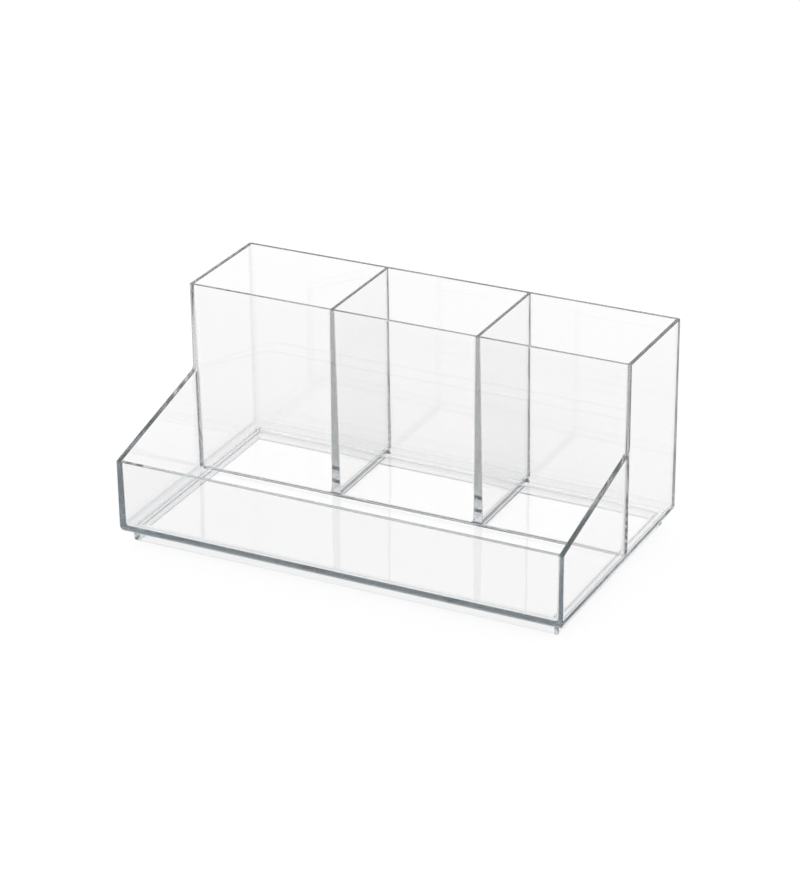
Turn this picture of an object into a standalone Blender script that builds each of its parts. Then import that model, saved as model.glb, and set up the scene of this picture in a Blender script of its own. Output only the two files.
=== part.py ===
# Makeup organizer in clear plastic: three tall cups behind a shallow tray with sloping wings.
# X runs from left to right, Y from front to back, Z up from the table. All sizes are in metres.
import math

import bmesh
import bpy
from mathutils import Vector

# Outside sizes
overall_width = 0.230
overall_depth = 0.134
overall_height = 0.1061
tray_reach = 0.0735
tray_rim_height = 0.0431
wing_top_height = 0.0616

# Wall thicknesses: a moulded wall is thinnest at its rim and grows towards the floor
rim_wall = 0.0020
root_wall = 0.0029
cup_front_rim = 0.0018
cup_front_root = 0.0030
divider_rim = 0.0017
divider_root = 0.0042
floor_thickness = 0.0034

# Roundings
edge_radius = 0.0040
cove_radius = 0.0020
divider_flare = 0.0020
cup_front_flare = 0.0008
back_corner_radius = 0.0030
front_corner_radius = 0.0010
step_edge_radius = 0.0012
inner_corner_radius = 0.0006
tray_corner_radius = 0.0019
wing_nose_radius = 0.0012
wing_crook_radius = 0.0030
rim_round = 0.0003

# Foot ring under the floor
foot_height = 0.0056
foot_side_inset = 0.0042
foot_end_inset = 0.0053
foot_root = 0.0028
foot_tip = 0.0024
foot_corner_radius = 0.0010
foot_tip_radius = 0.0012
foot_fillet = 0.0020

# The cement line left between two pieces, and the back wall's returns along the sides
bond_line = 0.0003
corner_return = 0.0010

# How finely the round stretches are cut
corner_steps = 6
edge_steps = 6
cove_steps = 5
rim_steps = 3

# Sizes that follow from the ones above
half_width = overall_width / 2
half_depth = overall_depth / 2
floor_bottom = foot_height
floor_top = floor_bottom + floor_thickness
pan_rim = floor_bottom + max(edge_radius, floor_thickness + cove_radius)
wall_seat = pan_rim + bond_line
floor_seat = floor_top + bond_line
cup_front_place = tray_reach - half_depth
wing_rise = (wing_top_height - tray_rim_height) / tray_reach
tray_cove_top = wing_top_height - wing_rise * tray_corner_radius - rim_round
back_corner_reach = max(back_corner_radius, root_wall + inner_corner_radius)
return_front = half_depth - back_corner_reach - corner_return
side_back_end = return_front - bond_line
least_step = rim_round / 10
cup_width = (overall_width - 2 * rim_wall - 2 * divider_rim) / 3
divider_place = (cup_width + divider_rim) / 2


def quarter_turn(steps):
    """Angles from nothing to a right angle."""
    return [math.pi / 2 * i / steps for i in range(steps + 1)]


def between(height, root, rim, top):
    """Thickness at a height of a wall that is root thick at the floor and rim thick at its top."""
    return rim + (root - rim) * (top - height) / (top - floor_top)


def wall_thickness(height):
    """Thickness of the four outer walls, which share one draft up to the cup rims."""
    return between(height, root_wall, rim_wall, overall_height)


def hollow_inset(height):
    """How far the inner face lies inside the outer one, with the cove where wall meets floor."""
    drop = min(cove_radius, max(0, floor_top + cove_radius - height))
    return wall_thickness(height) + cove_radius - math.sqrt(cove_radius**2 - drop**2)


def flare(height, radius):
    """How far a partition spreads to each side where it stands on the floor."""
    drop = min(radius, max(0, floor_top + radius - height))
    return radius - math.sqrt(radius**2 - drop**2)


def edge_shift(radius, distance):
    """How far a rounded edge stays behind its sharp corner at a distance from that corner."""
    rest = max(0, radius - distance)
    return radius - math.sqrt(radius**2 - rest**2)


def rim_levels(top):
    """Heights through the rounding of a rim, from just below it to its top."""
    return [top - rim_round * (1 - math.sin(a)) for a in quarter_turn(rim_steps)]


def spread_out(values):
    """Values in rising order, without those that all but repeat the one before."""
    kept = []
    for value in sorted(values):
        if not kept or value - kept[-1] > least_step:
            kept.append(value)
    return kept


def partition_levels(top):
    """Heights from the floor up through flares, cove and rim, so that mating faces match."""
    levels = {pan_rim, wall_seat, *rim_levels(top)}
    for radius in (cove_radius, divider_flare, cup_front_flare):
        levels |= {floor_top + radius * (1 - math.sin(angle)) for angle in quarter_turn(cove_steps)}
    return spread_out({floor_seat} | {z for z in levels if z > floor_seat})


def arc(centre_x, centre_y, radius, start, turn, steps):
    """Points of an arc that starts at an angle and turns by another."""
    points = []
    for i in range(steps + 1):
        angle = start + turn * i / steps
        points.append((centre_x + radius * math.cos(angle), centre_y + radius * math.sin(angle)))
    return points


def filleted(before, corner, after, radius, steps):
    """The arc that rounds one corner of an outline."""
    at = Vector(corner)
    to_before = (Vector(before) - at).normalized()
    to_after = (Vector(after) - at).normalized()
    half = to_before.angle(to_after) / 2
    middle = at + (to_before + to_after).normalized() * radius / math.sin(half)
    first = at + to_before * radius / math.tan(half) - middle
    turn = first.angle_signed(at + to_after * radius / math.tan(half) - middle)
    return arc(middle.x, middle.y, radius, math.atan2(first.y, first.x), -turn, steps)


def rounded_rectangle(half_x, half_y, front_radius, back_radius, height):
    """A level loop with one radius at its front corners and another at its back corners."""
    loop = []
    corners = ((-1, -1, math.pi), (1, -1, -math.pi / 2), (1, 1, 0), (-1, 1, math.pi / 2))
    for sign_x, sign_y, start in corners:
        radius = front_radius if sign_y < 0 else back_radius
        centre_x = sign_x * (half_x - radius)
        centre_y = sign_y * (half_y - radius)
        for x, y in arc(centre_x, centre_y, radius, start, math.pi / 2, corner_steps):
            loop.append((x, y, height))
    return loop


def outer_loop(inset, height):
    """The outline of the organizer, drawn in by an inset."""
    front = max(front_corner_radius - inset, rim_round)
    back = max(back_corner_radius - inset, rim_round)
    return rounded_rectangle(half_width - inset, half_depth - inset, front, back, height)


def hollow_loop(height):
    """The outline of the hollow inside the outer walls."""
    inset = hollow_inset(height)
    radius = max(inner_corner_radius - inset + wall_thickness(height), rim_round)
    return rounded_rectangle(half_width - inset, half_depth - inset, radius, radius, height)


def loft(loops, ring=False):
    """A closed solid through loops of equal length: capped at both ends, or joined into a ring."""
    mesh = bmesh.new()
    rows = [[mesh.verts.new(point) for point in loop] for loop in loops]
    pairs = list(zip(rows, rows[1:]))
    if ring:
        pairs.append((rows[-1], rows[0]))
    for low, high in pairs:
        for i in range(len(low)):
            j = (i + 1) % len(low)
            mesh.faces.new((low[i], low[j], high[j], high[i]))
    if not ring:
        mesh.faces.new(rows[0])
        mesh.faces.new(rows[-1])
    bmesh.ops.recalc_face_normals(mesh, faces=mesh.faces)
    return mesh


def finished_mesh(name, solid, place):
    """The mesh of a piece, in coordinates counted from the piece's own place."""
    bmesh.ops.translate(solid, verts=solid.verts, vec=-Vector(place))
    mesh = bpy.data.meshes.new(name)
    solid.to_mesh(mesh)
    solid.free()
    mesh.shade_smooth()
    mesh.set_sharp_from_angle(angle=math.radians(30))
    return mesh


def clear_plastic(name, tint):
    """Clear polystyrene with a polished surface."""
    material = bpy.data.materials.new(name + "_plastic")
    material.use_nodes = True
    shader = material.node_tree.nodes["Principled BSDF"]
    shader.inputs["Base Color"].default_value = (*tint, 1)
    shader.inputs["Roughness"].default_value = 0.04
    shader.inputs["Metallic"].default_value = 0
    shader.inputs["IOR"].default_value = 1.57
    shader.inputs["Transmission Weight"].default_value = 0.9
    return material


def add_piece(name, mesh, place, tint, holder):
    """Puts a piece in the scene at its place, held by the organizer's empty."""
    piece = bpy.data.objects.new(name, mesh)
    piece.location = place
    piece.parent = holder
    bpy.context.scene.collection.objects.link(piece)
    if not mesh.materials:
        mesh.materials.append(clear_plastic(name, tint))
    return piece


def floor_pan():
    """The floor with its rounded underside edge, turned up all round to a rim that carries the walls."""
    loops = []
    for angle in quarter_turn(edge_steps):
        inset = edge_radius * (1 - math.sin(angle))
        loops.append(outer_loop(inset, floor_bottom + edge_radius * (1 - math.cos(angle))))
    if pan_rim > floor_bottom + edge_radius:
        loops.append(outer_loop(0, pan_rim))
    if pan_rim > floor_top + cove_radius:
        loops.append(hollow_loop(pan_rim))
    for angle in quarter_turn(cove_steps):
        loops.append(hollow_loop(floor_top + cove_radius * (1 - math.sin(angle))))
    return loft(loops)


def foot_ring():
    """The ring that the organizer stands on: tapered, with a rounded toe, a narrow flat land to stand
    on and a fillet where its inner side meets the floor."""
    seat = floor_bottom - bond_line
    taper = (foot_root - foot_tip) / 2
    toe = arc(taper + foot_tip_radius, foot_tip_radius, foot_tip_radius, math.pi, math.pi / 2, edge_steps)
    inner_end = taper + foot_tip
    heel = arc(inner_end - rim_round, rim_round, rim_round, -math.pi / 2, math.pi / 2, rim_steps)
    root = arc(foot_root + foot_fillet, seat - foot_fillet, foot_fillet, math.pi, -math.pi / 2, cove_steps)
    loops = []
    for inset, height in [(0, seat), *toe, *heel, *root]:
        half_x = half_width - foot_side_inset - inset
        half_y = half_depth - foot_end_inset - inset
        radius = max(foot_corner_radius - inset, rim_round)
        loops.append(rounded_rectangle(half_x, half_y, radius, radius, height))
    return loft(loops, ring=True)


def side_outline(front_shift, rim_shift, step_shift):
    """A side wall seen from the side: front edge, sloping wing, step up to the cups and their rim."""
    front = -half_depth + front_shift
    step = cup_front_place + step_shift
    sink = rim_shift * math.sqrt(1 + wing_rise**2)
    nose = (front, tray_rim_height + wing_rise * front_shift - sink)
    crook = (step, wing_top_height + wing_rise * step_shift - sink)
    top = overall_height - rim_shift
    nose_radius = max(wing_nose_radius - rim_shift, rim_round)
    crook_radius = wing_crook_radius + rim_shift
    outline = [(front, wall_seat)]
    outline += filleted((front, wall_seat), nose, crook, nose_radius, corner_steps)
    outline += filleted(nose, crook, (step, top), crook_radius, corner_steps)
    outline += [(step, top), (side_back_end, top), (side_back_end, wall_seat)]
    return outline


def side_wall(side):
    """One side wall: its outline carried inwards from the outer face to the drafted inner face."""
    outer = {rim_round * (1 - math.cos(angle)) for angle in quarter_turn(rim_steps)}
    for radius in (front_corner_radius, step_edge_radius):
        outer |= {radius * (1 - math.cos(angle)) for angle in quarter_turn(corner_steps)}
    loops = []
    for distance in spread_out(outer):
        radii = (front_corner_radius, rim_round, step_edge_radius)
        outline = side_outline(*[edge_shift(radius, distance) for radius in radii])
        loops.append([(side * (half_width - distance), y, z) for y, z in outline])
    for angle in quarter_turn(rim_steps):
        distance = rim_round * (1 - math.sin(angle))
        outline = side_outline(0, edge_shift(rim_round, distance), 0)
        loops.append([(side * (half_width - wall_thickness(z) + distance), y, z) for y, z in outline])
    return loft(loops)


def back_loop(height):
    """The back wall from above, with its rounded corners and short returns along the sides."""
    shift = edge_shift(rim_round, overall_height - height)
    thickness = wall_thickness(height) - shift
    loop = []
    outer = (shift, back_corner_radius - shift, 1)
    inner = (thickness, inner_corner_radius, -1)
    for inset, radius, order in (outer, inner):
        x = half_width - inset
        centre_x = x - radius
        centre_y = half_depth - inset - radius
        right = arc(centre_x, centre_y, radius, 0, math.pi / 2, corner_steps)
        left = arc(-centre_x, centre_y, radius, math.pi / 2, math.pi / 2, corner_steps)
        loop += [(x, return_front), *right, *left, (-x, return_front)][::order]
    return [(x, y, height) for x, y in loop]


def back_wall():
    """The tall back wall, which turns both back corners."""
    return loft([back_loop(z) for z in [wall_seat, *rim_levels(overall_height)]])


def mirrored_plan(right, height):
    """A level loop from its right half, which runs from front to back."""
    left = [(-x, y) for x, y in reversed(right)]
    return [(x, y, height) for x, y in right + left]


def rear_cove(half_x, rear):
    """The right end of a wall's rear face, rounded out to the side wall."""
    radius = inner_corner_radius
    return arc(half_x - radius, rear + radius, radius, 0, -math.pi / 2, corner_steps)


def tray_cove(half_x, front, swell_share):
    """The right end of the cups' front face, rounded out to the side wall by a share of the full cove."""
    radius = tray_corner_radius
    full = arc(half_x - radius, -radius, radius, math.pi / 2, -math.pi / 2, corner_steps)
    return [(x, front + swell_share * y) for x, y in full]


def tray_front_wall():
    """The low wall across the front of the tray, between the side walls."""
    loops = []
    for height in [wall_seat, *rim_levels(tray_rim_height)]:
        shift = edge_shift(rim_round, tray_rim_height - height)
        x = half_width - wall_thickness(height) - bond_line
        front = -half_depth + shift
        rear = -half_depth + wall_thickness(height) - shift
        loops.append(mirrored_plan([(x, front), *rear_cove(x, rear)], height))
    return loft(loops)


def cup_front_faces(height):
    """Front and rear face of the wall between tray and cups: upright in front, drafted behind."""
    thickness = between(height, cup_front_root, cup_front_rim, overall_height)
    spread = flare(height, cup_front_flare)
    return cup_front_place - spread, cup_front_place + thickness + spread


def tray_cove_share(height):
    """The cove on the tray side is full up to just under the wing and is rounded off there."""
    rest = min(1, max(0, (tray_cove_top - height) / tray_corner_radius))
    return math.sqrt(1 - (1 - rest) ** 2)


def cup_front_wall():
    """The tall wall between tray and cups, standing on the floor on a flared foot."""
    cove_levels = [tray_cove_top - tray_corner_radius * (1 - math.sin(a)) for a in quarter_turn(corner_steps)]
    loops = []
    for height in spread_out(partition_levels(overall_height) + cove_levels):
        shift = edge_shift(rim_round, overall_height - height)
        front, rear = cup_front_faces(height)
        x = half_width - hollow_inset(height) - bond_line
        right = tray_cove(x, front + shift, tray_cove_share(height)) + rear_cove(x, rear - shift)
        loops.append(mirrored_plan(right, height))
    return loft(loops)


def divider():
    """A wall between two cups, standing on the floor on a flared foot and fitted to both coves."""
    loops = []
    for height in partition_levels(overall_height):
        shift = edge_shift(rim_round, overall_height - height)
        half_x = between(height, divider_root, divider_rim, overall_height) / 2 - shift
        half_x += flare(height, divider_flare)
        front = cup_front_faces(height)[1] + bond_line
        back = half_depth - hollow_inset(height) - bond_line
        radius = inner_corner_radius
        right = arc(half_x + radius, front + radius, radius, -math.pi / 2, -math.pi / 2, corner_steps)
        right += arc(half_x + radius, back - radius, radius, math.pi, -math.pi / 2, corner_steps)
        loops.append(mirrored_plan(right, height))
    return loft(loops)


def build():
    """Clears the scene and puts the organizer together from its pieces."""
    for old in list(bpy.data.objects):
        bpy.data.objects.remove(old)
    holder = bpy.data.objects.new("makeup_organizer", None)
    bpy.context.scene.collection.objects.link(holder)

    clear = (0.93, 0.95, 0.96)
    edge_tint = (0.78, 0.83, 0.85)
    places = {
        "floor_pan": (floor_pan, (0, 0, floor_bottom), clear),
        "foot_ring": (foot_ring, (0, 0, 0), edge_tint),
        "back_wall": (back_wall, (0, half_depth, wall_seat), clear),
        "tray_front_wall": (tray_front_wall, (0, -half_depth, wall_seat), clear),
        "cup_front_wall": (cup_front_wall, (0, cup_front_place, floor_seat), clear),
    }
    for name, (shape, place, tint) in places.items():
        add_piece(name, finished_mesh(name, shape(), place), place, tint, holder)

    for name, side in (("left_side_wall", -1), ("right_side_wall", 1)):
        place = (side * half_width, 0, wall_seat)
        add_piece(name, finished_mesh(name, side_wall(side), place), place, clear, holder)

    foot = (0, cup_front_place, floor_seat)
    partition = finished_mesh("divider", divider(), foot)
    for name, side in (("left_divider", -1), ("right_divider", 1)):
        place = (side * divider_place, cup_front_place, floor_seat)
        add_piece(name, partition, place, edge_tint, holder)


build()
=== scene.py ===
import math

import bmesh
import bpy
from mathutils import Matrix, Vector
from mathutils.bvhtree import BVHTree


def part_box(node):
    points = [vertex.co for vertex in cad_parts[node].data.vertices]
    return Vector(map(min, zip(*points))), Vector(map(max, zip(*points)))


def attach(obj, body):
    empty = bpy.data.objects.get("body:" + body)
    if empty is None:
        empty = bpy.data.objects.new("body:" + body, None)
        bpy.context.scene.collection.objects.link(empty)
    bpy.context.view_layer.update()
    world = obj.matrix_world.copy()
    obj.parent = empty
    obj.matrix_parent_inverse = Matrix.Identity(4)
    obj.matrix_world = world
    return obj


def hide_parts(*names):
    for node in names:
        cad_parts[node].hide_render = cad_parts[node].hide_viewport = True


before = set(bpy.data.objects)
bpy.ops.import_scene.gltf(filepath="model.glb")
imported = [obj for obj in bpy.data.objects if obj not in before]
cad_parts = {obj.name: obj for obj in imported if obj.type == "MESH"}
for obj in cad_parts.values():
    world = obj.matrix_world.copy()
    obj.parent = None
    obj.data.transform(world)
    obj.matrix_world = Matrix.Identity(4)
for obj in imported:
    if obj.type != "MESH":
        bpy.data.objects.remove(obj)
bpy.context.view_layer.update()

# A clear moulded organizer: three cups behind a tray. X runs to the right, Y to the back, Z up.
# Outside sizes come from the frame, all others are real sizes in metres.
pan_low, pan_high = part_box("floor_pan")
foot_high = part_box("foot_ring")[1]
half_width = pan_high.x
half_depth = pan_high.y
floor_bottom = pan_low.z
overall_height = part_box("back_wall")[1].z
tray_rim_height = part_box("tray_front_wall")[1].z
tray_reach = 0.0735  # from the front edge back to the cups' front wall
wing_top_height = 0.0616  # where the side walls' sloping wings meet the cups

# Thickness of each wall at its rim and at the floor, and of the floor
rim_wall = 0.0020
root_wall = 0.0029
cup_front_rim = 0.0018
cup_front_root = 0.0030
divider_rim = 0.0017
divider_root = 0.0042
floor_thickness = 0.0034

# Roundings and flares
edge_radius = 0.0040
cove_radius = 0.0020
divider_flare = 0.0020
cup_front_flare = 0.0008
back_corner_radius = 0.0015
front_corner_radius = 0.0010
step_edge_radius = 0.0012
inner_corner_radius = 0.0006
tray_corner_radius = 0.0019
wing_nose_radius = 0.0012
wing_crook_radius = 0.0030
rim_round = 0.0003

# Foot ring, and how far the back wall runs on along the sides past its corners
foot_root = 0.0028
foot_tip = 0.0024
foot_corner_radius = 0.0010
foot_tip_radius = 0.0012
foot_fillet = 0.0020
corner_return = 0.0010

# A seat is this much deeper or wider than the piece that stands in it, too little to see
seam = 0.00002

# How finely round stretches are cut
corner_steps = 10
edge_steps = 16
cove_steps = 12
rim_steps = 4

# Sizes that follow from the ones above
floor_top = floor_bottom + floor_thickness
pan_rim = floor_bottom + max(edge_radius, floor_thickness + cove_radius)
cup_front_place = tray_reach - half_depth
back_corner_reach = max(back_corner_radius, root_wall + inner_corner_radius)
return_front = half_depth - back_corner_reach - corner_return
cup_width = (2 * half_width - 2 * rim_wall - 2 * divider_rim) / 3
divider_place = (cup_width + divider_rim) / 2
least_step = rim_round / 20
weld_distance = least_step / 10
joint_reach = 3 * seam
wing_rise = (wing_top_height - tray_rim_height) / tray_reach
tray_cove_top = wing_top_height - wing_rise * tray_corner_radius - rim_round


def quarter_turn(steps):
    """Angles from nothing to a right angle."""
    return [math.pi / 2 * i / steps for i in range(steps + 1)]


def between(height, root, rim):
    """Thickness at a height of a wall that is root thick at the floor and rim thick at the top."""
    return rim + (root - rim) * (overall_height - height) / (overall_height - floor_top)


def wall_thickness(height):
    """Thickness of the four outer walls."""
    return between(height, root_wall, rim_wall)


def hollow_inset(height):
    """How far the inner face lies inside the outer one, with the cove where wall meets floor."""
    drop = min(cove_radius, max(0, floor_top + cove_radius - height))
    return wall_thickness(height) + cove_radius - math.sqrt(cove_radius**2 - drop**2)


def flare(height, radius):
    """How far a partition spreads to each side where it stands on the floor."""
    drop = min(radius, max(0, floor_top + radius - height))
    return radius - math.sqrt(radius**2 - drop**2)


def edge_shift(radius, distance):
    """How far a rounded edge stays behind its sharp corner at a distance from that corner."""
    rest = max(0, radius - distance)
    return radius - math.sqrt(radius**2 - rest**2)


def rim_levels(top):
    """Heights through the rounding of a rim, from just below it to its top."""
    return [top - rim_round * (1 - math.sin(a)) for a in quarter_turn(rim_steps)]


def spread_out(values):
    """Values in rising order, without those that all but repeat the one before."""
    kept = []
    for value in sorted(values):
        if not kept or value - kept[-1] > least_step:
            kept.append(value)
    return kept


def partition_levels():
    """Heights from the floor up through flares, cove and rim."""
    levels = {floor_top, pan_rim, *rim_levels(overall_height)}
    for radius in (cove_radius, divider_flare, cup_front_flare):
        levels |= {floor_top + radius * (1 - math.sin(a)) for a in quarter_turn(cove_steps)}
    return spread_out(levels)


def arc(centre_x, centre_y, radius, start, turn, steps):
    """Points of an arc that starts at an angle and turns by another."""
    points = []
    for i in range(steps + 1):
        angle = start + turn * i / steps
        points.append((centre_x + radius * math.cos(angle), centre_y + radius * math.sin(angle)))
    return points


def filleted(before, corner, after, radius, steps):
    """The arc that rounds one corner of an outline."""
    at = Vector(corner)
    to_before = (Vector(before) - at).normalized()
    to_after = (Vector(after) - at).normalized()
    half = to_before.angle(to_after) / 2
    middle = at + (to_before + to_after).normalized() * radius / math.sin(half)
    first = at + to_before * radius / math.tan(half) - middle
    turn = first.angle_signed(at + to_after * radius / math.tan(half) - middle)
    return arc(middle.x, middle.y, radius, math.atan2(first.y, first.x), -turn, steps)


class Wire:
    """A node's output on which Python's operators add Math nodes."""

    def __init__(self, nodes, socket):
        self.nodes = nodes
        self.socket = socket

    def maths(self, operation, first, second=0.0):
        sockets = {0: first, 1: second}
        return self.nodes.get("ShaderNodeMath", 0, {"operation": operation}, sockets)

    def __add__(self, other):
        return self.maths("ADD", self, other)

    def __radd__(self, other):
        return self.maths("ADD", other, self)

    def __sub__(self, other):
        return self.maths("SUBTRACT", self, other)

    def __rsub__(self, other):
        return self.maths("SUBTRACT", other, self)

    def __mul__(self, other):
        return self.maths("MULTIPLY", self, other)

    def __rmul__(self, other):
        return self.maths("MULTIPLY", other, self)

    def __truediv__(self, other):
        return self.maths("DIVIDE", self, other)

    def __mod__(self, other):
        return self.maths("FLOORED_MODULO", self, other)

    def __floordiv__(self, other):
        return self.maths("FLOOR", self / other)

    def __rpow__(self, other):
        return self.maths("POWER", other, self)

    def sine(self):
        return self.maths("SINE", self)

    def cosine(self):
        return self.maths("COSINE", self)

    def sign(self):
        return self.maths("SIGN", self)

    def absolute(self):
        return self.maths("ABSOLUTE", self)

    def clamped(self):
        """Held between 0 and 1."""
        return self.nodes.get("ShaderNodeClamp", 0, {}, {0: self})


class Nodes:
    """A node tree whose nodes all come from the add method."""

    def __init__(self, tree):
        self.tree = tree
        tree.nodes.clear()

    def add(self, kind, settings, sockets):
        """Adds a node: first its settings, then the values or links of its sockets."""
        node = self.tree.nodes.new(kind)
        for name, value in settings.items():
            setattr(node, name, value)
        for name, value in sockets.items():
            if isinstance(value, Wire):
                self.tree.links.new(value.socket, node.inputs[name])
            else:
                node.inputs[name].default_value = value
        return node

    def out(self, node, name):
        return Wire(self, node.outputs[name])

    def get(self, kind, name, settings=None, sockets=None):
        """A new node's output."""
        return self.out(self.add(kind, settings or {}, sockets or {}), name)

    def blend(self, share, first, second):
        """A colour between two colours, which are the node's sockets 6 and 7."""
        sockets = {0: share, 6: first, 7: second}
        return self.get("ShaderNodeMix", 2, {"data_type": "RGBA"}, sockets)


def carried_round():
    """Geometry Nodes that carry a profile round a rectangle with rounded corners.

    The profile comes in as points at (inset, 0, height), each with the radius of its front
    corners and of its back corners. A closed profile ends at the point where it starts."""
    tree = bpy.data.node_groups.new("carried_round", "GeometryNodeTree")
    inputs = {
        "Profile": "NodeSocketGeometry",
        "Half Width": "NodeSocketFloat",
        "Half Depth": "NodeSocketFloat",
        "Corner Steps": "NodeSocketInt",
        "Weld Distance": "NodeSocketFloat",
        "Plastic": "NodeSocketMaterial",
    }
    for name, kind in inputs.items():
        tree.interface.new_socket(name, in_out="INPUT", socket_type=kind)
    tree.interface.new_socket("Solid", in_out="OUTPUT", socket_type="NodeSocketGeometry")
    nodes = Nodes(tree)
    given = nodes.add("NodeGroupInput", {}, {})
    profile, half_x, half_y, steps, weld, plastic = [nodes.out(given, name) for name in inputs]

    rows = nodes.get("GeometryNodeAttributeDomainSize", "Point Count", {}, {"Geometry": profile})
    around = 4 * (steps + 1)
    size = {"Vertices X": rows, "Vertices Y": around + 1}
    grid = nodes.get("GeometryNodeMeshGrid", "Mesh", {}, size)
    index = nodes.get("GeometryNodeInputIndex", 0)
    row = index // (around + 1)
    step = index % (around + 1) % around

    def sampled(kind, value):
        sockets = {"Geometry": profile, "Value": value, "Index": row}
        return nodes.get("GeometryNodeSampleIndex", "Value", {"data_type": kind}, sockets)

    def sampled_radius(name):
        radius = nodes.get("GeometryNodeInputNamedAttribute", 0, {}, {"Name": name})
        return sampled("FLOAT", radius)

    place = sampled("FLOAT_VECTOR", nodes.get("GeometryNodeInputPosition", 0))
    split = nodes.add("ShaderNodeSeparateXYZ", {}, {0: place})
    inset = nodes.out(split, "X")
    height = nodes.out(split, "Z")

    corner = step // (steps + 1)
    quarter = math.pi / 2
    angle = math.pi + quarter * (corner + step % (steps + 1) / steps)
    diagonal = math.pi + quarter * (corner + 0.5)
    side_x = diagonal.cosine().sign()
    side_y = diagonal.sine().sign()
    front = sampled_radius("front_radius")
    radius = front + (sampled_radius("back_radius") - front) * (side_y + 1) * 0.5
    x = side_x * (half_x - inset - radius) + radius * angle.cosine()
    y = side_y * (half_y - inset - radius) + radius * angle.sine()
    moved = nodes.get("ShaderNodeCombineXYZ", 0, {}, {"X": x, "Y": y, "Z": height})

    shaped = nodes.get("GeometryNodeSetPosition", 0, {}, {"Geometry": grid, "Position": moved})
    loose = {"Geometry": shaped, "Distance": weld}
    welded = nodes.get("GeometryNodeMergeByDistance", 0, {}, loose)
    real = nodes.get("GeometryNodeRealizeInstances", 0, {}, {"Geometry": welded})
    finish = nodes.get("GeometryNodeSetMaterial", 0, {}, {"Geometry": real, "Material": plastic})
    nodes.add("NodeGroupOutput", {}, {"Solid": finish})
    return tree


def new_object(name, mesh):
    """An object in the scene, at the origin."""
    thing = bpy.data.objects.new(name, mesh)
    bpy.context.scene.collection.objects.link(thing)
    return thing


def finished(thing):
    """The object's mesh with its modifiers applied."""
    bpy.context.view_layer.update()
    evaluated = thing.evaluated_get(bpy.context.evaluated_depsgraph_get())
    return bpy.data.meshes.new_from_object(evaluated)


def as_solid(shape, mesh):
    """Puts a shape into a mesh with its holes closed and its faces pointing out."""
    bmesh.ops.holes_fill(shape, edges=shape.edges)
    bmesh.ops.recalc_face_normals(shape, faces=shape.faces)
    shape.to_mesh(mesh)
    shape.free()
    return mesh


def swept(name, profile, half_x, half_y, plastic):
    """A solid whose profile runs once round.

    The profile has rows of an inset, a height, a front radius and a back radius."""
    insets, heights, *radii = zip(*profile)
    mesh = bpy.data.meshes.new(name)
    mesh.from_pydata([(inset, 0, height) for inset, height in zip(insets, heights)], [], [])
    for attribute, values in zip(("front_radius", "back_radius"), radii):
        mesh.attributes.new(attribute, "FLOAT", "POINT").data.foreach_set("value", values)
    thing = new_object(name, mesh)
    tree = carried_round()
    values = {
        "Half Width": half_x,
        "Half Depth": half_y,
        "Corner Steps": corner_steps,
        "Weld Distance": weld_distance,
        "Plastic": plastic,
    }
    modifier = thing.modifiers.new("carried_round", "NODES")
    modifier.node_group = tree
    for socket in tree.interface.items_tree:
        if socket.name in values:
            modifier[socket.identifier] = values[socket.name]
    solid = finished(thing)
    bpy.data.objects.remove(thing)
    solid.materials.pop(index=0)  # the empty slot that comes before the plastic's
    shape = bmesh.new()
    shape.from_mesh(solid)
    return as_solid(shape, solid)


def floor_pan(plastic):
    """The floor: rounded up to the walls outside, and hollowed out by a cove inside."""
    outside = []
    for angle in quarter_turn(edge_steps):
        inset = edge_radius * (1 - math.sin(angle))
        outside.append((inset, floor_bottom + edge_radius * (1 - math.cos(angle))))
    outside.append((0, pan_rim))
    profile = []
    for inset, height in outside:
        front_radius = max(front_corner_radius - inset, rim_round)
        back_radius = max(back_corner_radius - inset, rim_round)
        profile.append((inset, height, front_radius, back_radius))
    for angle in quarter_turn(cove_steps):
        height = floor_top + cove_radius * (1 - math.sin(angle))
        inset = hollow_inset(height)
        radius = max(inner_corner_radius - inset + wall_thickness(height), rim_round)
        profile.append((inset, height, radius, radius))
    return swept("floor_pan", profile, half_width, half_depth, plastic)


def foot_ring(plastic):
    """The ring under the floor: tapered, with a rounded toe and a fillet up to the floor inside."""
    quarter = math.pi / 2
    taper = (foot_root - foot_tip) / 2
    tip = foot_tip_radius
    toe = arc(taper + tip, tip, tip, math.pi, quarter, edge_steps)
    inner_end = taper + foot_tip
    heel = arc(inner_end - rim_round, rim_round, rim_round, -quarter, quarter, rim_steps)
    root_height = floor_bottom - foot_fillet
    root = arc(foot_root + foot_fillet, root_height, foot_fillet, math.pi, -quarter, cove_steps)
    seat = (0, floor_bottom)
    profile = []
    for inset, height in [seat, *toe, *heel, *root, seat]:
        radius = max(foot_corner_radius - inset, rim_round)
        profile.append((inset, height, radius, radius))
    return swept("foot_ring", profile, foot_high.x, foot_high.y, plastic)


def lofted(name, loops, plastic):
    """A solid through loops of equal length, closed at both ends."""
    shape = bmesh.new()
    rows = [[shape.verts.new(point) for point in loop] for loop in loops]
    for low, high in zip(rows, rows[1:]):
        for i in range(len(low)):
            j = (i + 1) % len(low)
            shape.faces.new((low[i], low[j], high[j], high[i]))
    mesh = as_solid(shape, bpy.data.meshes.new(name))
    mesh.materials.append(plastic)
    return mesh


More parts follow.
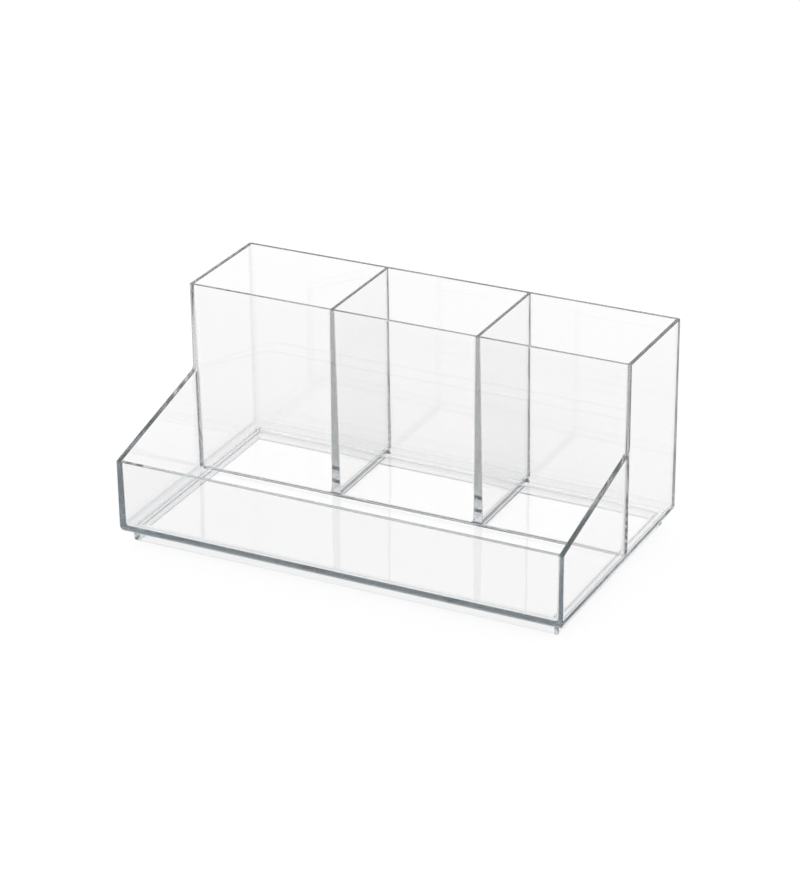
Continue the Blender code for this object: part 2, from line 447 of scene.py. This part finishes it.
def side_outline(front_shift, rim_shift, step_shift):
    """A side wall from the side: front edge, sloping wing, step up to the cups, and their rim."""
    front = -half_depth + front_shift
    step = cup_front_place + step_shift
    sink = rim_shift * math.sqrt(1 + wing_rise**2)
    nose = (front, tray_rim_height + wing_rise * front_shift - sink)
    crook = (step, wing_top_height + wing_rise * step_shift - sink)
    top = overall_height - rim_shift
    nose_radius = max(wing_nose_radius - rim_shift, rim_round)
    crook_radius = wing_crook_radius + rim_shift
    outline = [(front, pan_rim)]
    outline += filleted((front, pan_rim), nose, crook, nose_radius, corner_steps)
    outline += filleted(nose, crook, (step, top), crook_radius, corner_steps)
    outline += [(step, top), (return_front, top), (return_front, pan_rim)]
    return outline


def side_wall(side, plastic):
    """One side wall: its outline carried from the outer face in to the drafted inner face."""
    outer = {rim_round * (1 - math.cos(angle)) for angle in quarter_turn(rim_steps)}
    for radius in (front_corner_radius, step_edge_radius):
        outer |= {radius * (1 - math.cos(angle)) for angle in quarter_turn(corner_steps)}
    loops = []
    for distance in spread_out(outer):
        radii = (front_corner_radius, rim_round, step_edge_radius)
        outline = side_outline(*[edge_shift(radius, distance) for radius in radii])
        loops.append([(side * (half_width - distance), y, z) for y, z in outline])
    for angle in quarter_turn(rim_steps):
        distance = rim_round * (1 - math.sin(angle))
        outline = side_outline(0, edge_shift(rim_round, distance), 0)
        inner = [(half_width - wall_thickness(z) + distance, y, z) for y, z in outline]
        loops.append([(side * x, y, z) for x, y, z in inner])
    return lofted("side_wall", loops, plastic)


def back_loop(height):
    """The back wall from above, with its rounded corners and short returns along the sides."""
    shift = edge_shift(rim_round, overall_height - height)
    outer = (shift, back_corner_radius - shift, 1)
    inner = (wall_thickness(height) - shift, inner_corner_radius, -1)
    loop = []
    for inset, radius, order in (outer, inner):
        x = half_width - inset
        centre_x = x - radius
        centre_y = half_depth - inset - radius
        right = arc(centre_x, centre_y, radius, 0, math.pi / 2, corner_steps)
        left = arc(-centre_x, centre_y, radius, math.pi / 2, math.pi / 2, corner_steps)
        loop += [(x, return_front), *right, *left, (-x, return_front)][::order]
    return [(x, y, height) for x, y in loop]


def back_wall(plastic):
    """The tall back wall, which turns both back corners."""
    levels = [pan_rim, *rim_levels(overall_height)]
    return lofted("back_wall", [back_loop(height) for height in levels], plastic)


def mirrored_plan(right, height):
    """A level loop from its right half, which runs from front to back."""
    left = [(-x, y) for x, y in reversed(right)]
    return [(x, y, height) for x, y in right + left]


def rear_cove(half_x, rear):
    """The right end of a wall's rear face, rounded out to the side wall."""
    radius = inner_corner_radius
    return arc(half_x - radius, rear + radius, radius, 0, -math.pi / 2, corner_steps)


def tray_cove(half_x, front, swell_share):
    """The right end of the cups' front face, with a share of the cove out to the side wall."""
    radius = tray_corner_radius
    full = arc(half_x - radius, -radius, radius, math.pi / 2, -math.pi / 2, corner_steps)
    return [(x, front + swell_share * y) for x, y in full]


def tray_front_wall(plastic):
    """The low wall across the front of the tray, between the side walls."""
    loops = []
    for height in [pan_rim, *rim_levels(tray_rim_height)]:
        shift = edge_shift(rim_round, tray_rim_height - height)
        x = half_width - wall_thickness(height)
        front = -half_depth + shift
        rear = -half_depth + wall_thickness(height) - shift
        loops.append(mirrored_plan([(x, front), *rear_cove(x, rear)], height))
    return lofted("tray_front_wall", loops, plastic)


def cup_front_faces(height):
    """Front and rear face of the wall between tray and cups: upright in front, drafted behind."""
    thickness = between(height, cup_front_root, cup_front_rim)
    spread = flare(height, cup_front_flare)
    return cup_front_place - spread, cup_front_place + thickness + spread


def tray_cove_share(height):
    """The cove on the tray side is full up to just under the wing and is rounded off there."""
    rest = min(1, max(0, (tray_cove_top - height) / tray_corner_radius))
    return math.sqrt(1 - (1 - rest) ** 2)


def cup_front_wall(plastic):
    """The tall wall between tray and cups, standing on the floor on a flared foot."""
    levels = partition_levels()
    for angle in quarter_turn(corner_steps):
        levels.append(tray_cove_top - tray_corner_radius * (1 - math.sin(angle)))
    loops = []
    for height in spread_out(levels):
        shift = edge_shift(rim_round, overall_height - height)
        front, rear = cup_front_faces(height)
        x = half_width - hollow_inset(height) + shift
        right = tray_cove(x, front + shift, tray_cove_share(height)) + rear_cove(x, rear - shift)
        loops.append(mirrored_plan(right, height))
    return lofted("cup_front_wall", loops, plastic)


def divider(side, plastic):
    """A wall between two cups, on a flared foot and rounded out at both ends."""
    loops = []
    radius = inner_corner_radius
    for height in partition_levels():
        shift = edge_shift(rim_round, overall_height - height)
        half_x = between(height, divider_root, divider_rim) / 2 + flare(height, divider_flare)
        centre_x = half_x - shift + radius
        front = cup_front_faces(height)[1] - shift + radius
        back = half_depth - hollow_inset(height) + shift - radius
        right = arc(centre_x, front, radius, -math.pi / 2, -math.pi / 2, corner_steps)
        right += arc(centre_x, back, radius, math.pi, -math.pi / 2, corner_steps)
        plan = mirrored_plan(right, height)
        loops.append([(side * divider_place + x, y, z) for x, y, z in plan])
    return lofted("divider", loops, plastic)


# The neighbours that cut a seat into a piece, how each is moved for that, and how far it is
# widened in X at each end
side_wall_seats = [("cup_front_wall", (0, 0, 0), seam), ("tray_front_wall", (0, 0, 0), seam)]
seats = {
    "floor_pan": [
        ("foot_ring", (0, 0, seam), 0),
        ("cup_front_wall", (0, 0, -seam), seam),
        ("left_divider", (0, seam, -seam), 0),
        ("right_divider", (0, seam, -seam), 0),
    ],
    "back_wall": [("left_divider", (0, seam, 0), 0), ("right_divider", (0, seam, 0), 0)],
    "cup_front_wall": [("left_divider", (0, -seam, 0), 0), ("right_divider", (0, -seam, 0), 0)],
    "left_side_wall": side_wall_seats,
    "right_side_wall": side_wall_seats,
}


def seat_cutter(solid, shift, widening):
    """A neighbour's shape, moved, and widened in X by a length at each end."""
    copy = solid.copy()
    reach = max(abs(v.co.x) for v in copy.vertices)
    for v in copy.vertices:
        v.co.x *= (reach + widening) / reach
        v.co += Vector(shift)
    return new_object("seat_cutter", copy)


def seated(name, shapes):
    """A piece's mesh with a shallow seat where each neighbour is joined to it."""
    thing = new_object(name, shapes[name].copy())
    cutters = [seat_cutter(shapes[other], *place) for other, *place in seats.get(name, [])]
    for cutter in cutters:
        cut = thing.modifiers.new("seat", "BOOLEAN")
        cut.operation = "DIFFERENCE"
        cut.solver = "EXACT"
        cut.object = cutter
    mesh = finished(thing)
    for used in [thing, *cutters]:
        bpy.data.objects.remove(used)
    return mesh


# Two faces look at each other when the cosine between their directions is below this
facing_cosine = -0.7


def mark_joints(meshes):
    """Faces that lie against a neighbour get the second material slot."""
    trees = {}
    for name, mesh in meshes.items():
        points = [v.co for v in mesh.vertices]
        trees[name] = BVHTree.FromPolygons(points, [face.vertices for face in mesh.polygons])
    for name, mesh in meshes.items():
        neighbours = [tree for other, tree in trees.items() if other != name]
        for face in mesh.polygons:
            for tree in neighbours:
                normal = tree.find_nearest(face.center, joint_reach)[1]
                if normal is not None and face.normal.dot(normal) < facing_cosine:
                    face.material_index = 1


# The axis that a piece's broad faces look along: 0 is X, 1 is Y and 2 is Z
broad_axes = {
    "floor_pan": 2,
    "back_wall": 1,
    "tray_front_wall": 1,
    "cup_front_wall": 1,
    "left_side_wall": 0,
    "right_side_wall": 0,
    "left_divider": 0,
    "right_divider": 0,
}


# A face is broad above the first cosine to the piece's axis, and looks upwards above the second
broad_cosine = 0.98
upward_cosine = 0.02

# The mark of the floor's cove, which is polished least. The other edges have a mark of 1.
cove_mark = 2.5


def mark_edges(mesh, axis):
    """Marks the faces that turn away from a piece's broad ones: rims, ends and roundings."""
    marks = []
    for face in mesh.polygons:
        turned = abs(face.normal[axis]) < broad_cosine
        in_cove = turned and axis == 2 and face.normal.z > upward_cosine
        marks.append(cove_mark if in_cove else float(turned))
    mesh.attributes.new("edge", "FLOAT", "FACE").data.foreach_set("value", marks)


def new_material(name):
    """A material without nodes, and its node tree."""
    material = bpy.data.materials.new(name)
    material.use_nodes = True
    return material, Nodes(material.node_tree)


# Clear polystyrene: how strongly it bends light and how high its waves are
refraction = 1.57
wave_height = 0.0004

# The flow of the plastic in its mould, and the marks of handling: patches a metre, and detail
flow_pattern = {"Scale": 45.0, "Detail": 1.0}
handling_pattern = {"Scale": 160.0, "Detail": 3.0}

# Roughness on top of a piece's own: at its edges, and by handling, less what handling spares
edge_dullness = 0.12
handling_dullness = 0.06
handling_spares = 0.02

# How strongly each plastic darkens light inside it, per metre: in the tray's part and the cups'
wall_darkening = (11.0, 11.0)
# The left wall's darkening is painted light and shade: a copy of the walls' plastic lit as from its
# side, lighter at its edges in the cups' part and darker in the tray's part
lit_left_wall_darkening = (14.0, 6.0)
divider_darkening = (17.0, 17.0)
floor_darkening = (21.0, 7.0)
foot_darkening = (15.0, 8.0)

# A change at a border in a material is spread over this width
soft_edge = 0.002


def past(distance):
    """0 before a border and 1 past it, with a soft step, from the distance past the border."""
    return (distance / soft_edge + 0.5).clamped()


def clear_plastic(name, tints, deep_colour, darkening, waviness=0.10, least_roughness=0.0):
    """Clear plastic, a little wavy and duller at its edges.

    Light that runs far inside it turns to the deep colour, by the darkening of either part."""
    material, nodes = new_material(name)
    place = nodes.get("ShaderNodeTexCoord", "Object")
    flow = nodes.get("ShaderNodeTexNoise", 0, {}, {"Vector": place, **flow_pattern})
    handling = nodes.get("ShaderNodeTexNoise", 0, {}, {"Vector": place, **handling_pattern})
    edge = nodes.get("ShaderNodeAttribute", "Fac", {"attribute_name": "edge"})
    bump = {"Height": flow, "Strength": waviness, "Distance": wave_height}
    waves = nodes.get("ShaderNodeBump", "Normal", {}, bump)
    worn = (handling_dullness * handling - handling_spares).clamped()
    polished = {
        "Base Color": nodes.blend(flow, *tints),
        "Roughness": least_roughness + edge * edge_dullness + worn,
        "IOR": refraction,
        "Transmission Weight": 1.0,
        "Normal": waves,
    }
    clear = nodes.get("ShaderNodeBsdfPrincipled", "BSDF", {}, polished)
    dark = {
        "Color": deep_colour,
        "Roughness": least_roughness,
        "IOR": refraction,
        "Normal": waves,
    }
    deep = nodes.get("ShaderNodeBsdfGlass", "BSDF", {}, dark)
    run = nodes.get("ShaderNodeLightPath", "Ray Length")
    inside = nodes.get("ShaderNodeNewGeometry", "Backfacing")
    y = nodes.get("ShaderNodeSeparateXYZ", "Y", {}, {0: place})
    at_tray, at_cups = darkening
    per_metre = at_tray + past(y - cup_front_place) * (at_cups - at_tray)
    absorbed = inside * (1 - math.e ** (run * per_metre * -1))
    surface = nodes.get("ShaderNodeMixShader", 0, {}, {0: absorbed, 1: clear, 2: deep})
    nodes.add("ShaderNodeOutputMaterial", {}, {"Surface": surface})
    return material


def wall_plastic(name, tints, darkening):
    """The walls look almost colourless, and blue-grey at their edges."""
    deep_colour = (0.006, 0.16, 0.26, 1)
    return clear_plastic(name, tints, deep_colour, darkening)


def floor_plastic():
    """The floor looks clearer than the walls, and blue-grey at its edge."""
    tints = ((0.995, 0.993, 0.990, 1), (1.0, 0.998, 0.996, 1))
    deep_colour = (0.006, 0.24, 0.40, 1)
    return clear_plastic("floor_plastic", tints, deep_colour, floor_darkening, waviness=0.15)


def shaded_foot_plastic():
    """The foot ring is less polished, and its grey tint is painted shade for the shadow under the
    organizer seen through it, so it shows as a pale grey band.
    """
    # Painted shade: the grey tint darkens the ring as the shadow beneath it would
    tints = ((0.88, 0.88, 0.88, 1), (0.91, 0.91, 0.91, 1))
    deep_colour = (0.0, 0.17, 0.28, 1)
    return clear_plastic("shaded_foot_plastic", tints, deep_colour, foot_darkening, least_roughness=0.25)


def joined():
    """The inside of a joint, which doesn't show."""
    material, nodes = new_material("joint")
    surface = nodes.get("ShaderNodeBsdfTransparent", "BSDF", {}, {"Color": (1, 1, 1, 1)})
    nodes.add("ShaderNodeOutputMaterial", {}, {"Surface": surface})
    return material


# Faces that meet at more than this angle keep a sharp edge between them
sharp_angle = math.radians(30)

# How much large faces count over small ones in the shading, of 100 at most
large_face_weight = 100


def flat_faced(name, mesh):
    """A piece whose flat faces stay flat beside their rounded edges."""
    mesh.shade_smooth()
    mesh.set_sharp_from_angle(angle=sharp_angle)
    piece = new_object(name, mesh)
    weight = piece.modifiers.new("flat_faces", "WEIGHTED_NORMAL")
    weight.weight = large_face_weight
    weight.keep_sharp = True
    piece.data = finished(piece)
    piece.modifiers.clear()
    return piece


def make_pieces():
    """Builds the nine pieces, seats them on each other and puts them in place of the nodes.

    The left wall has a darkening of its own, because the photograph's light came from its side:
    painted light and shade, a copy of the walls' plastic lit as from its side."""
    smoky = ((0.973, 0.968, 0.968, 1), (0.983, 0.978, 0.978, 1))
    neutral = ((0.977, 0.977, 0.977, 1), (0.987, 0.987, 0.987, 1))
    walls = wall_plastic("wall_plastic", smoky, wall_darkening)
    # A copy of the walls' plastic for the left wall, whose edges show painted light and shade as if
    # lit from its side
    lit_left_wall = wall_plastic("lit_left_wall_plastic", smoky, lit_left_wall_darkening)
    dividers = wall_plastic("divider_plastic", neutral, divider_darkening)
    floor = floor_plastic()
    foot = shaded_foot_plastic()
    joint = joined()
    shapes = {
        "floor_pan": floor_pan(floor),
        "foot_ring": foot_ring(foot),
        "back_wall": back_wall(walls),
        "left_side_wall": side_wall(-1, lit_left_wall),
        "right_side_wall": side_wall(1, walls),
        "tray_front_wall": tray_front_wall(walls),
        "cup_front_wall": cup_front_wall(walls),
        "left_divider": divider(-1, dividers),
        "right_divider": divider(1, dividers),
    }
    meshes = {name: seated(name, shapes) for name in shapes}
    for mesh in meshes.values():
        mesh.materials.append(joint)
    mark_joints(meshes)
    for name, axis in broad_axes.items():
        mark_edges(meshes[name], axis)
    for name, mesh in meshes.items():
        piece = flat_faced("clear_" + name, mesh)
        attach(piece, "root")
        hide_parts(name)


def seen_share(nodes):
    """A mask of the camera's rays, and one of the rays from mirrors and glass."""
    path = nodes.add("ShaderNodeLightPath", {}, {})
    rays = ("Is Camera Ray", "Is Glossy Ray", "Is Transmission Ray")
    camera, glossy, through = [nodes.out(path, name) for name in rays]
    return camera, (glossy + through).clamped()


# The paper: how far it reaches to each side, how much it reflects and how brightly it glows
paper_reach = 6.0
paper_grey = 0.22
paper_glow = 0.86

# Painted light on the paper, standing in for what the plastic gathers on it: the glow that the
# tray's part adds, and the cups' part on top
painted_tray_glow = 0.16
painted_cups_glow = 0.04


def make_floor():
    """White paper that glows for the camera and for the plastic, and keeps the shadow.

    Seen through plastic it glows a little more under the tray, and still more under the cups:
    painted light, standing in for the light that clear plastic gathers on paper."""
    shape = bmesh.new()
    bmesh.ops.create_grid(shape, x_segments=1, y_segments=1, size=paper_reach)
    mesh = bpy.data.meshes.new("floor")
    shape.to_mesh(mesh)
    floor = new_object("floor", mesh)
    material, nodes = new_material("white_floor")
    camera, glass = seen_share(nodes)
    place = nodes.get("ShaderNodeTexCoord", "Object")
    split = nodes.add("ShaderNodeSeparateXYZ", {}, {0: place})
    x = nodes.out(split, "X")
    y = nodes.out(split, "Y")
    under = past(half_width - x.absolute()) * past(half_depth - y.absolute())
    # A painted pool of light on the paper under the plastic, brighter under the cups
    painted_caustic_glow = under * (painted_tray_glow + painted_cups_glow * past(y - cup_front_place))
    glow = camera * paper_glow + (1 - camera) * glass * (paper_glow + painted_caustic_glow)
    light = nodes.get("ShaderNodeEmission", "Emission", {}, {"Color": glow, "Strength": 1.0})
    grey = (paper_grey, paper_grey, paper_grey, 1)
    paper = nodes.get("ShaderNodeBsdfDiffuse", "BSDF", {}, {"Color": grey})
    surface = nodes.get("ShaderNodeAddShader", 0, {}, {0: paper, 1: light})
    nodes.add("ShaderNodeOutputMaterial", {}, {"Surface": surface})
    mesh.materials.append(material)


# The studio's light is lost overhead: the greatest share, how high that starts and how fast it
# grows, both by the rise of a direction, which is 1 straight up
overhead_loss = 0.5
overhead_start = 0.6
overhead_speed = 2.5


def make_world():
    """A bright studio that is darker overhead."""
    world = bpy.data.worlds.new("studio")
    world.use_nodes = True
    bpy.context.scene.world = world
    nodes = Nodes(world.node_tree)
    camera = seen_share(nodes)[0]
    direction = nodes.get("ShaderNodeTexCoord", "Generated")
    up = nodes.get("ShaderNodeSeparateXYZ", "Z", {}, {0: direction})
    level = 1 - overhead_loss * ((up - overhead_start) * overhead_speed).clamped()
    seen = camera + (1 - camera) * level
    light = nodes.get("ShaderNodeBackground", 0, {}, {"Color": seen, "Strength": 1.0})
    nodes.add("ShaderNodeOutputWorld", {}, {"Surface": light})


def make_camera():
    """The camera, as fitted to the edge lines of the photograph."""
    azimuth, elevation, roll = (math.radians(a) for a in (26.824, 25.133, -0.656))
    place = Vector((0.5999, -1.1841, 0.6692))
    focal_pixels = 3104.5
    photo_long_side = 889
    sensor = 36.0
    cos = math.cos(elevation)
    back = Vector((math.sin(azimuth) * cos, -math.cos(azimuth) * cos, math.sin(elevation)))
    level = Vector((math.cos(azimuth), math.sin(azimuth), 0))
    upright = back.cross(level)
    right = math.cos(roll) * level + math.sin(roll) * upright
    up = math.cos(roll) * upright - math.sin(roll) * level
    data = bpy.data.cameras.new("camera")
    data.sensor_width = sensor
    data.lens = focal_pixels * sensor / photo_long_side
    camera = new_object("camera", data)
    turned = Matrix((right, up, back)).transposed().to_4x4()
    camera.matrix_world = Matrix.Translation(place) @ turned
    bpy.context.scene.camera = camera


def set_light_paths(bounces):
    """Light runs a long way inside the walls before it comes out at an edge."""
    cycles = bpy.context.scene.cycles
    cycles.max_bounces = bounces
    cycles.glossy_bounces = bounces
    cycles.transmission_bounces = bounces
    cycles.transparent_max_bounces = bounces


make_pieces()
make_floor()
make_world()
make_camera()
set_light_paths(bounces=96)
bpy.context.scene.view_settings.view_transform = "Standard"
